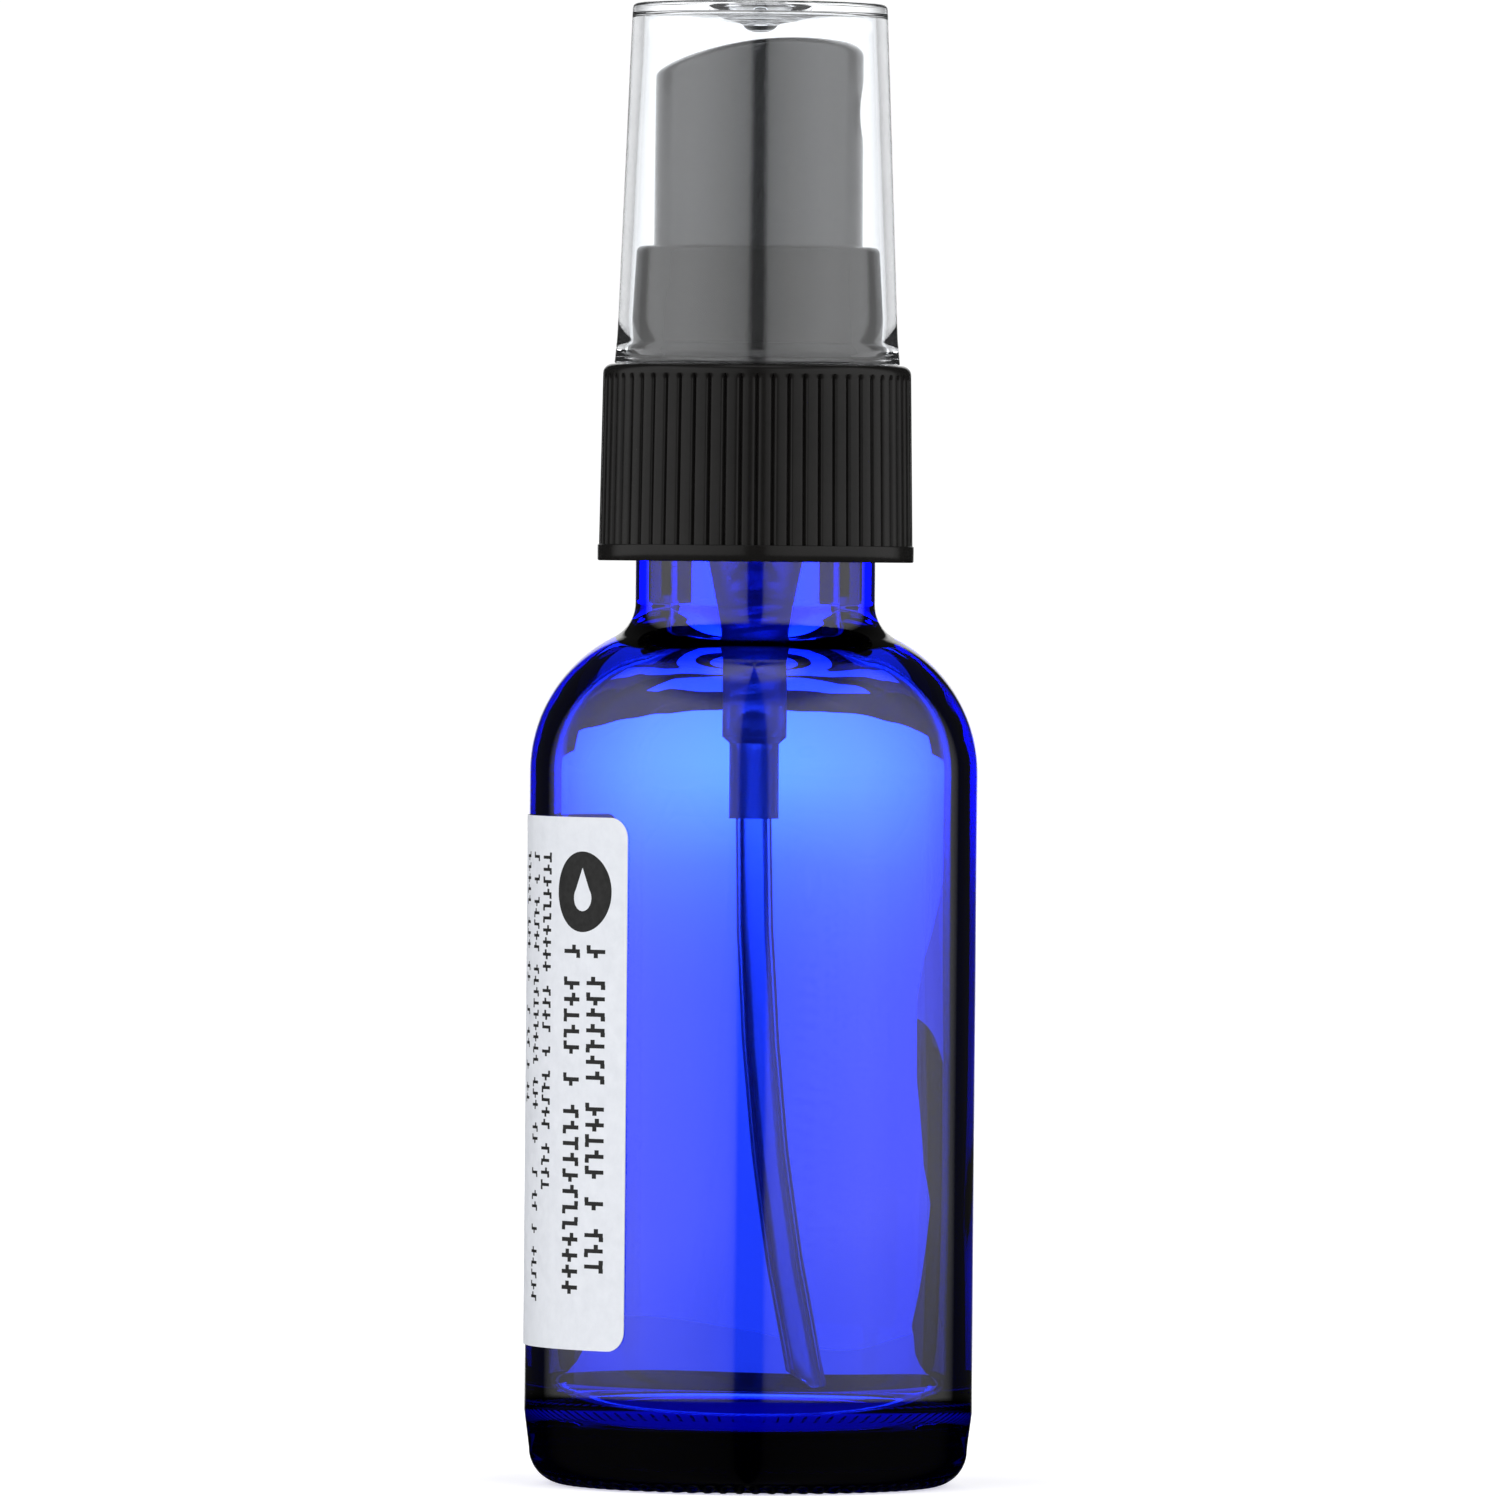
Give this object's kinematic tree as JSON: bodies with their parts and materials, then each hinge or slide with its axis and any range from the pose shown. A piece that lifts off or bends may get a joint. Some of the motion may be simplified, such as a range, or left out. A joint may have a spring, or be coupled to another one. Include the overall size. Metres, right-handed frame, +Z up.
{
  "type": "perfume atomiser",
  "caption": "Tall round-shouldered glass bottle with a ribbed screw-on mist pump, a slant-topped finger button with a side nozzle, a dip tube and a clear lift-off overcap.",
  "frame": {"origin": "centre of the bottle's base, on the surface that it stands on", "axes": "+Z up along the bottle's axis, +X the way the nozzle faces, +Y to the left of the nozzle seen from behind it"},
  "size_m": [0.0327, 0.0326, 0.1081],
  "materials": {
    "bottle_glass": "cobalt-blue transparent glass, polished",
    "label_paper": "semi-gloss coated white paper, dark print",
    "closure_plastic": "black moulded polypropylene, satin",
    "gasket_foam": "white expanded polyethylene",
    "pump_plastic": "natural translucent polypropylene",
    "bright_steel": "bright drawn stainless steel",
    "piston_plastic": "natural polyethylene",
    "tube_plastic": "clear extruded polyethylene",
    "button_plastic": "black moulded polypropylene, fine satin",
    "nozzle_plastic": "black moulded acetal",
    "cap_plastic": "clear, slightly hazy moulded polypropylene"
  },
  "bodies": {
    "bottle": {"glass_bottle": "bottle_glass", "paper_label": "label_paper"},
    "pump": {"pump_housing": "pump_plastic", "neck_gasket": "gasket_foam", "retainer_ring": "pump_plastic", "dip_tube": "tube_plastic", "return_spring": "bright_steel"},
    "closure": {"closure": "closure_plastic"},
    "overcap": {"overcap": "cap_plastic"},
    "plunger": {"piston": "piston_plastic"},
    "actuator": {"button": "button_plastic", "nozzle_insert": "nozzle_plastic", "stem": "pump_plastic"},
    "valve": {"valve_rod": "pump_plastic"},
    "ball": {"check_ball": "bright_steel"}
  },
  "joints": [
    {"name": "pump_lift", "type": "slide", "parent": "bottle", "child": "pump", "axis": [0, 0, 1], "range_m": [0, 0.0052]},
    {"name": "closure_turn", "type": "hinge", "parent": "pump", "child": "closure", "pos_m": [0, 0, 0.0746], "axis": [0, 0, 1], "range_deg": [0, 585]},
    {"name": "overcap_lift", "type": "slide", "parent": "closure", "child": "overcap", "axis": [0, 0, 1], "range_m": [0, 0.04]},
    {"name": "actuator_press", "type": "slide", "parent": "pump", "child": "plunger", "axis": [0, 0, -1], "range_m": [0, 0.005], "stiffness_N_per_m": 600, "springref_m": -0.003, "deforming": ["return_spring"]},
    {"name": "actuator_turn", "type": "hinge", "parent": "plunger", "child": "actuator", "pos_m": [0, 0, 0.0883], "axis": [0, 0, 1], "continuous": true},
    {"name": "valve_open", "type": "slide", "parent": "plunger", "child": "valve", "axis": [0, 0, -1], "range_m": [0, 0.0004], "stiffness_N_per_m": 200, "springref_m": -0.0005},
    {"name": "ball_lift", "type": "slide", "parent": "pump", "child": "ball", "axis": [0, 0, 1], "range_m": [0, 0.0008]}
  ],
  "couplings": [
    {"joint": "pump_lift", "follows": "closure_turn", "m_per_rad": 0.00050532}
  ]
}
